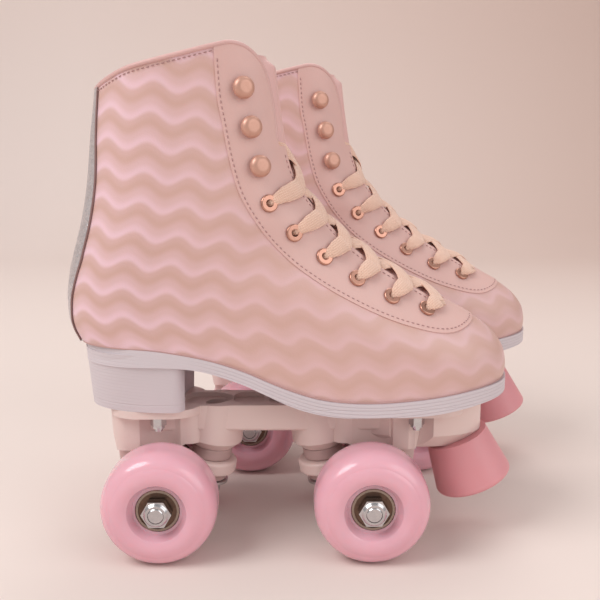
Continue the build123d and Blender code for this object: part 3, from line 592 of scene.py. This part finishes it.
CAD_FINISH = {"eyelets": EYELET, "lace_hooks": HOOK, "plate": NYLON, "mounting_bolts": STEEL,
              "toe_stop": STOP, "toe_stop_bolt": STEEL, "kingpins": STEEL, "pivot_cups": CUSHION,
              "truck": NYLON, "cushions": CUSHION, "axle": STEEL, "axle_nuts": STEEL, "wheel": WHEEL,
              "bearings": RACE, "outsole": SOLE}
for name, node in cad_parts.items():
    finish = next((m for end, m in CAD_FINISH.items() if name.endswith(end)), None)
    if finish:
        node.data.materials.clear()
        node.data.materials.append(finish)


def row_points(node):
    """A CAD node's corners in the row frame, in metres."""
    mesh = node.data
    local = np.empty(len(mesh.vertices) * 3)
    mesh.vertices.foreach_get("co", local)
    matrix = np.array(node.matrix_world)
    return local.reshape(-1, 3) @ matrix[:3, :3].T + matrix[:3, 3]


def shield_bearings(name):
    """Gives the ring between a bearing's two races its bronze-tinted shield."""
    inner_race, outer_race = 5.9, 9.7
    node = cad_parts[name]
    low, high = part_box(name)
    middle = np.array([(low.x + high.x) / 2, (low.z + high.z) / 2])
    away = np.linalg.norm(row_points(node)[:, [0, 2]] - middle, axis=1) / MM
    node.data.materials.append(SHIELD)
    for face in node.data.polygons:
        radii = away[list(face.vertices)]
        face.material_index = int(radii.max() < outer_race and radii.min() > inner_race)


def measure_ribs(side):
    """Marks an outsole's corners with their depth under its top edge, their height and place along."""
    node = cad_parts[f"{side}_outsole"]
    points = row_points(node) / MM
    along = points[:, 0] - skate_frame(side)[0] / MM
    marks = np.stack([between(SOLE_TOP, along) - points[:, 2], points[:, 2], along], 1) * MM
    rib = node.data.attributes.new("rib", "FLOAT_VECTOR", "POINT")
    rib.data.foreach_set("vector", marks.astype(np.float32).ravel())


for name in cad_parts:
    if name.endswith("bearings"):
        shield_bearings(name)
for side in ("right", "left"):
    measure_ribs(side)


# ---------------------------------------------------------------- the boots
def dress(obj, side, slot_name, *nodes):
    """Rides a boot piece on its skate, and hides the CAD parts it stands in for."""
    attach(obj, f"{side}_skate")
    if nodes:
        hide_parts(*[f"{side}_{n}" for n in nodes])
    return obj


def side_point(x, z, y_sign, lift=0.0):
    """A point on the boot's side, and the outward direction there."""
    y = centre_line(x) + y_sign * half_width(x, z)
    n = normal_at(x, z, y_sign, y)
    return np.array([x, y, z]) + lift * n, n


def hole_gap(points, y_sign):
    """Distance of points from the nearest lace hole's edge on one side."""
    best = np.full(len(points), 99.0)
    for x, z in EYELETS:
        centre, n = side_point(x, z, y_sign)
        away = points[:, :3] - centre
        out = away @ n
        radial = np.sqrt(np.maximum((away ** 2).sum(1) - out ** 2, 0))
        best = np.where(np.abs(out) < 12, np.minimum(best, radial - EYELET_HOLE), best)
    return best


def tucked(points):
    """Draws the upper's lowest edge in a little, where it turns under into the sole."""
    gap = points[:, 2] - between(SOLE_TOP, points[:, 0])
    near = np.clip(1 - gap / 2.2, 0, 1) ** 2
    middle = np.stack([points[:, 0] * 0 + 70, centre_line(points[:, 0])], 1)
    inward = middle - points[:, :2]
    inward[:, 0] = np.where(np.abs(points[:, 0] - 70) > 60, inward[:, 0], 0)
    inward /= np.linalg.norm(inward, axis=1)[:, None] + 1e-9
    points[:, :2] += inward * (0.9 * near)[:, None]
    return points


def cut_form(grow, fields, low=72, high=256, rows=150, columns=150):
    """The boot's form, grown outwards, where every field is positive."""
    points, faces = form_mesh(grow, low, high, rows, columns)
    for field in fields:
        points, faces = clip(points, faces, field(points))
    return points, faces


# Fields for cutting: positive on the side that is kept
def in_boot(p):
    return p[:, 2] - between(SOLE_TOP, p[:, 0])


def under_collar(p):
    return -signed_distance(p[:, 0], p[:, 2], COLLAR_LINE)


def beside_throat(p):
    return throat_gap(p[:, 0], p[:, 1], p[:, 2])


def clear_of_holes(p):
    return np.minimum(hole_gap(p, -1), hole_gap(p, 1))


def on_facing(p):
    return signed_distance(p[:, 0], p[:, 2], STITCH_LINE) + FACING_HEM


def on_backstay(p):
    return np.where(p[:, 0] < 0, between(BACKSTAY_HALF, p[:, 2]) - np.abs(p[:, 1]), -9.0)


IN_UPPER = [in_boot, under_collar, beside_throat, clear_of_holes]
UPPER = cut_form(0.0, IN_UPPER)
FACING_PIECE = cut_form(FACING, [on_facing] + IN_UPPER, 110, 256, 190, 210)
BACKSTAY = cut_form(0.8, [in_boot, under_collar, on_backstay], 96, 256, 110, 170)


def path_on_form(line, y_sign, lift):
    """A side-view line laid on the boot's side, as points and outward directions."""
    points, normals = [], []
    for x, z in line:
        if x >= ends(z, 0)[1] - 0.02:
            break
        p, n = side_point(x, z, y_sign, lift)
        points.append(p)
        normals.append(n)
    return np.array(points), np.array(normals)


def resampled(points, normals, spacing):
    length = np.concatenate([[0], np.cumsum(np.linalg.norm(np.diff(points, axis=0), axis=1))])
    at = np.arange(0, length[-1], spacing)
    pick = lambda values: np.stack([np.interp(at, length, values[:, k]) for k in range(3)], 1)
    return pick(points), pick(normals)


def stitches(points, normals, pitch=2.7, length=1.7, radius=0.29):
    """A row of stitches: one short rounded thread for each pitch of the path."""
    profile = ((-0.5, 0.35, 0.25), (-0.36, 0.9, 0.06), (0, 1.0, 0), (0.36, 0.9, 0.06), (0.5, 0.35, 0.25))
    parts = []
    spots, directions = resampled(points, normals, pitch / 6)
    for i in range(0, len(spots) - 4, 6):
        run = spots[i + 4] - spots[i]
        if np.linalg.norm(run) < 1e-6:
            continue
        t = run / np.linalg.norm(run)
        n = directions[i + 2] / np.linalg.norm(directions[i + 2])
        across = np.cross(t, n)
        rings = []
        for share, size, sink in profile:
            centre = (spots[i] + spots[i + 4]) / 2 + t * share * length - n * sink
            rings.append([centre + (across * math.cos(a) + n * math.sin(a)) * radius * size
                          for a in np.arange(6) * math.pi / 3])
        faces = [(r * 6 + k, (r + 1) * 6 + k, (r + 1) * 6 + (k + 1) % 6, r * 6 + (k + 1) % 6)
                 for r in range(4) for k in range(6)]
        faces += [tuple(range(6)), tuple(reversed(range(24, 30)))]
        parts.append((np.concatenate(rings), faces))
    return joined(parts)


def collar_half(y_sign, drop, lift, edge):
    """From the back of the collar round to its front corner, this far below the edge."""
    line = np.array(COLLAR_LINE[:-1])
    along = np.gradient(line, axis=0)
    along /= np.linalg.norm(along, axis=1)[:, None]
    line = line + np.stack([along[:, 1], -along[:, 0]], 1) * drop
    out = []
    for (x, z), (ahead_x, ahead_z) in zip(line, line[1:]):
        back = ends(z, 0)[0]
        if x < back < ahead_x:
            x = back + 0.03
        if x < back or (x > 30 and half_width(x, z) < edge):
            continue
        out.append(side_point(x, z, y_sign, lift))
    return out


def collar_line(drop, lift, edge):
    """Round the collar from one throat edge to the other, this far below its edge."""
    spots = collar_half(-1, drop, lift, edge)[::-1] + collar_half(1, drop, lift, edge)
    return np.array([p for p, n in spots]), np.array([n for p, n in spots])


def front_edge_line(y_sign, inset, lift):
    """Along the throat's edge, from the collar's front corner to the toe end."""
    points, normals = [], []
    for z in np.linspace(246, 124, 90):
        low, high = 20.0, float(ends(z, 0)[1])
        for _ in range(40):
            middle = (low + high) / 2
            if half_width(middle, z) > THROAT_HALF + inset:
                low = middle
            else:
                high = middle
        p, n = side_point(low, z, y_sign, lift)
        if low > THROAT_END + 2:
            break
        if signed_distance(np.array([low]), np.array([z]), COLLAR_LINE)[0] < -3.4:
            points.append(p)
            normals.append(n)
    return np.array(points), np.array(normals)


# ---------------------------------------------------------------- lacing
def station(s):
    """A point of the eyelets' line, with the direction out across it; s counts from the top pair."""
    low, high = -1.0, len(EYELETS) - 0.2
    s = min(max(s, low), high)
    i = min(max(int(math.floor(s)), 0), len(EYELETS) - 2)
    a, b = np.array(EYELETS[i]), np.array(EYELETS[i + 1])
    before, after = np.array(EYELETS[max(i - 1, 0)]), np.array(EYELETS[min(i + 2, len(EYELETS) - 1)])
    point = a + (b - a) * (s - i)
    run = (after - before) / np.linalg.norm(after - before)
    return point, np.array([-run[1], run[0]])


def instep_point(s, y, lift):
    """On the instep at station s, this far sideways and out from the boot's form."""
    point, out = station(s)
    low, high = 0.0, 30.0
    for _ in range(36):
        middle = (low + high) / 2
        x, z = point + out * middle
        if x < ends(z, 0)[1] and half_width(x, z) > abs(y):
            low = middle
        else:
            high = middle
    x, z = point + out * low
    y_here = centre_line(x) + y
    sign = 1 if y >= 0 else -1
    if abs(y) < 1.5:
        n = np.array([out[0], 0.0, out[1]])
    else:
        n = normal_at(x, z, sign, y_here)
        share = min(abs(y) / 12, 1)
        n = n * share + np.array([out[0], 0, out[1]]) * (1 - share)
        n /= np.linalg.norm(n)
    return np.array([x, y_here, z]) + n * lift, n


def lace_route(i, y_sign):
    """One crossing: out of an eyelet, over the facing's edge, and under the opposite facing."""
    x, z = EYELETS[i]
    start = y_sign * half_width(x, z)
    over = 0.75 if y_sign < 0 else 0.0
    spots = [(i, start, -3.5), (i + 0.02, start * 0.985, 0.6), (i + 0.10, start * 0.88, 3.3),
             (i + 0.22, start * 0.70, 3.2), (i + 0.26, y_sign * 14.5, 2.5),
             (i + 0.12, y_sign * 9.5, 1.9 + over), (i - 0.20, 0.0, 1.2 + over),
             (i - 0.54, -y_sign * 8.0, 0.6), (i - 0.67, -y_sign * 12.5, -1.9),
             (i - 0.75, -y_sign * 17.0, -4.1), (i - 0.85, -y_sign * 21.0, -4.3)]
    points, normals = zip(*[instep_point(*spot) for spot in spots])
    return np.array(points), np.array(normals)


def lace_strip(i, y_sign):
    """One crossing's flat lace, narrow in the eyelet, with each corner's place in the braid."""
    points, normals = lace_route(i, y_sign)
    line = smooth_line(points, 7)
    share = np.linspace(0, len(points) - 1, len(line))
    out = np.stack([np.interp(share, range(len(points)), normals[:, k]) for k in range(3)], 1)
    out /= np.linalg.norm(out, axis=1)[:, None]

    def section(t):
        wide = float(np.interp(t, *LACE_WIDTH))
        thick = float(np.interp(t, *LACE_THICKNESS))
        droop = 0.5 * min(wide / 8, 1)
        return [(a, b - droop * (2 * a / wide) ** 2) for a, b in oval(wide, thick, 16, 2.6)]

    mesh, faces = tube_mesh(line, out, section)
    travelled = np.concatenate([[0], np.cumsum(np.linalg.norm(np.diff(line, axis=0), axis=1))])
    last = len(line) - 1
    braid = np.array([(a, travelled[j], 0) for j in range(last + 1) for a, b in section(j / last)])
    return mesh, faces, braid


def make_lace(side):
    """The lace's crossings, two from each pair of eyelets."""
    strips = [lace_strip(i, y_sign) for i in range(len(EYELETS)) for y_sign in (1, -1)]
    points, faces = joined([(p, f) for p, f, b in strips])
    obj = add_mesh(f"{side}_woven_lace", side, points, faces, LACE, sharp=70)
    places = np.concatenate([b for p, f, b in strips]) * MM
    braid = obj.data.attributes.new("braid", "FLOAT_VECTOR", "POINT")
    braid.data.foreach_set("vector", places.astype(np.float32).ravel())
    return dress(obj, side, "lace", "lace")


# ---------------------------------------------------------------- tongue, footbed, sole
def make_tongue(side):
    """The padded tongue: fuller between the facings, thin under them."""
    fields = [lambda p: TONGUE_HALF - np.abs(p[:, 1] - centre_line(p[:, 0])),
              lambda p: np.where(p[:, 0] > 30, signed_distance(p[:, 0], p[:, 2], TONGUE_BACK), -9),
              lambda p: TONGUE_TOP - p[:, 2]]
    points, faces = cut_form(-TONGUE_SINK, fields, 108, 250, 120, 130)
    sideways = np.abs(points[:, 1] - centre_line(points[:, 0]))
    pad = TONGUE_PAD * (1 - step((sideways - 8.0) / 5.5))
    end = step((points[:, 2] - 116) / 8) * step((TONGUE_TOP - points[:, 2]) / 6)
    steep = between(TONGUE_LEAN, points[:, 2])
    lean = np.stack([steep, 0 * steep, np.sqrt(1 - steep ** 2)], 1)
    points[:, :3] += lean * (pad * end)[:, None]
    obj = add_mesh(f"{side}_padded_tongue", side, points, faces, [TONGUE_CLOTH, LINING])
    thicken(obj, 2.6, 0, 1)
    return dress(obj, side, "tongue", "tongue")


def make_footbed(side):
    """A cloth-covered foam footbed, cupped at the heel."""
    rows, columns = 90, 31
    xs = np.linspace(-43, 172, rows)
    across = np.linspace(-1, 1, columns)
    points = []
    for x in xs:
        z = float(between(SOLE_TOP, x)) + 4.2
        w = max(float(half_width(x, z + 1, -3.8)), 0.3)
        for a in across:
            cup = 2.2 * abs(a) ** 4 * (1 - float(step((x - 20) / 60)))
            points.append((x, float(centre_line(x)) + a * w, z + cup))
    starts = [i * columns + k for i in range(rows - 1) for k in range(columns - 1)]
    faces = [(a, a + columns, a + columns + 1, a + 1) for a in starts]
    obj = add_mesh(f"{side}_foam_footbed", side, points, faces, LINING)
    thicken(obj, 3.4)
    return dress(obj, side, "footbed", "footbed")


def strip_along(points, normals, outline):
    """A strip with the same outline all along."""
    return tube_mesh(points, normals, lambda share: outline)


def make_boot(side):
    """The printed upper, its facing, back strip, edges and stitching."""
    points, faces = UPPER
    upper = add_mesh(f"{side}_printed_upper", side, tucked(points.copy()), faces, [PRINTED, LINING])
    thicken(upper, WALL, 1, 1)
    dress(upper, side, "upper", "upper")

    facing = add_mesh(f"{side}_lace_facing", side, *FACING_PIECE, PLAIN)
    thicken(facing, FACING + 0.5)
    dress(facing, side, "upper")

    backstay = add_mesh(f"{side}_glitter_backstay", side, *BACKSTAY, GLITTER)
    thicken(backstay, 0.9)
    dress(backstay, side, "backstay", "backstay")

    edge_parts, thread_parts = [], []
    for y_sign in (-1, 1):
        line = [(back_edge_x(z, y_sign), z) for z in np.linspace(100, 240, 90)]
        kept = [(x, z) for x, z in line if z > between(SOLE_TOP, x) + 0.3 and z < between(COLLAR, x) - 1]
        p, n = path_on_form(kept, y_sign, 0.55)
        edge_parts.append(strip_along(p, n, oval(1.1, 1.0, 8)))
        kept = [(x, z) for x, z in STITCH_LINE if z < between(COLLAR, x) - 2.4]
        p, n = path_on_form(smooth_line(kept, 8), y_sign, FACING + 0.12)
        thread_parts.append(stitches(p, n))
        p, n = front_edge_line(y_sign, FACING_INSET, FACING + 0.12)
        thread_parts.append(stitches(p, n))
    p, n = collar_line(COLLAR_INSET, FACING * 0.5, THROAT_HALF + FACING_INSET)
    thread_parts.append(stitches(p, n, 2.5, 1.6))
    dress(add_mesh(f"{side}_backstay_edge", side, *joined(edge_parts), EDGE_THREAD), side, "backstay")
    dress(add_mesh(f"{side}_boot_stitching", side, *joined(thread_parts), THREAD), side, "upper")

    p, n = collar_line(0.6, -1.3, THROAT_HALF + 0.6)
    binding = strip_along(p, n, oval(2.6, 4.5, 14, 2.6))
    dress(add_mesh(f"{side}_collar_binding", side, *binding, BINDING, sharp=60), side, "upper")

    # The darker cord along the sole's top edge is a painted shadow line where the upper meets the sole
    shadow_cord_parts = []
    for y_sign in (-1, 1):
        low, high = ends(100, -SOLE_LAP)
        xs = (low + high) / 2 + (high - low) / 2 * np.sin(np.linspace(-1, 1, 160) * math.pi / 2)
        line = [(x, float(between(SOLE_TOP, x)) + 0.35) for x in xs]
        line = [(x, z) for x, z in line if half_width(x, z, -SOLE_LAP) > 0.5]
        p = np.array([(x, centre_line(x) + y_sign * half_width(x, z, -SOLE_LAP), z) for x, z in line])
        n = np.array([(0, 0, 1.0)] * len(p))
        shadow_cord_parts.append(strip_along(p, n, oval(1.2, 1.2, 8)))
    dress(add_mesh(f"{side}_sole_shadow_cord", side, *joined(shadow_cord_parts), SOLE_SHADOW_CORD), side, "upper")


def back_edge_x(z, y_sign):
    """Where the back strip's edge lies on the section at height z."""
    target = float(between(BACKSTAY_HALF, z))
    low, high = float(ends(z, 0)[0]), 20.0
    for _ in range(40):
        middle = (low + high) / 2
        if half_width(middle, z) < target:
            low = middle
        else:
            high = middle
    return low


for side in ("right", "left"):
    make_boot(side)
    make_tongue(side)
    make_footbed(side)
    make_lace(side)


# ---------------------------------------------------------------- floor, light, camera
def make_backdrop():
    """A paper sweep: floor, a wide bend, and a wall."""
    bend, floor_end, height, half = 0.5, 1.0, 2.6, 3.5
    profile = [(-2.5, 0.0), (floor_end, 0.0)]
    angles = np.linspace(0.08, math.pi / 2, 20)
    profile += [(floor_end + bend * math.sin(a), bend * (1 - math.cos(a))) for a in angles]
    profile.append((floor_end + bend, height))
    mesh = bpy.data.meshes.new("backdrop")
    points = [(x, y, z) for x in (-half, half) for y, z in profile]
    count = len(profile)
    mesh.from_pydata(points, [], [(i, count + i, count + i + 1, i + 1) for i in range(count - 1)])
    mesh.polygons.foreach_set("use_smooth", [True] * len(mesh.polygons))
    mesh.materials.append(backdrop_paper())
    obj = bpy.data.objects.new("backdrop", mesh)
    bpy.context.scene.collection.objects.link(obj)


def area_light(name, place, size, power, colour):
    """A round soft light turned to the middle of the pair."""
    light = bpy.data.lights.new(name, "AREA")
    light.shape = "DISK"
    light.size = size
    light.energy = power
    light.color = colour
    obj = bpy.data.objects.new(name, light)
    obj.location = place
    obj.rotation_euler = (Vector((0, 0, 0.1)) - Vector(place)).to_track_quat("-Z", "Y").to_euler()
    bpy.context.scene.collection.objects.link(obj)


make_backdrop()
area_light("key", (-1.2, -0.7, 1.5), 1.2, 21, (1.0, 0.985, 0.98))
area_light("fill", (1.3, -1.0, 0.9), 1.6, 10, (1.0, 0.98, 0.975))
area_light("back", (0.3, 0.9, 1.5), 1.2, 8, (1.0, 0.98, 0.975))
world = bpy.data.worlds.new("studio")
world.use_nodes = True
world.node_tree.nodes["Background"].inputs["Color"].default_value = (1.0, 0.975, 0.965, 1)
world.node_tree.nodes["Background"].inputs["Strength"].default_value = 0.5
bpy.context.scene.world = world
bpy.context.scene.view_settings.view_transform = "Standard"

# The camera stands square to the right skate, a little above it and to its left
CAMERA_FROM_RIGHT_AXLE = Vector((0.065, -0.436, 0.207))
CAMERA_PITCH, CAMERA_YAW = math.radians(10.55), math.radians(-0.72)
LENS_MM = 51.0
axle_x, axle_y, _ = skate_frame("right")
camera = bpy.data.cameras.new("camera")
camera.lens = LENS_MM
camera.sensor_width = 36
camera.clip_start = 0.01
camera_object = bpy.data.objects.new("camera", camera)
camera_object.location = CAMERA_FROM_RIGHT_AXLE + Vector((axle_x, axle_y, 0))
camera_object.rotation_euler = (math.pi / 2 - CAMERA_PITCH, 0, CAMERA_YAW)
bpy.context.scene.collection.objects.link(camera_object)
bpy.context.scene.camera = camera_object
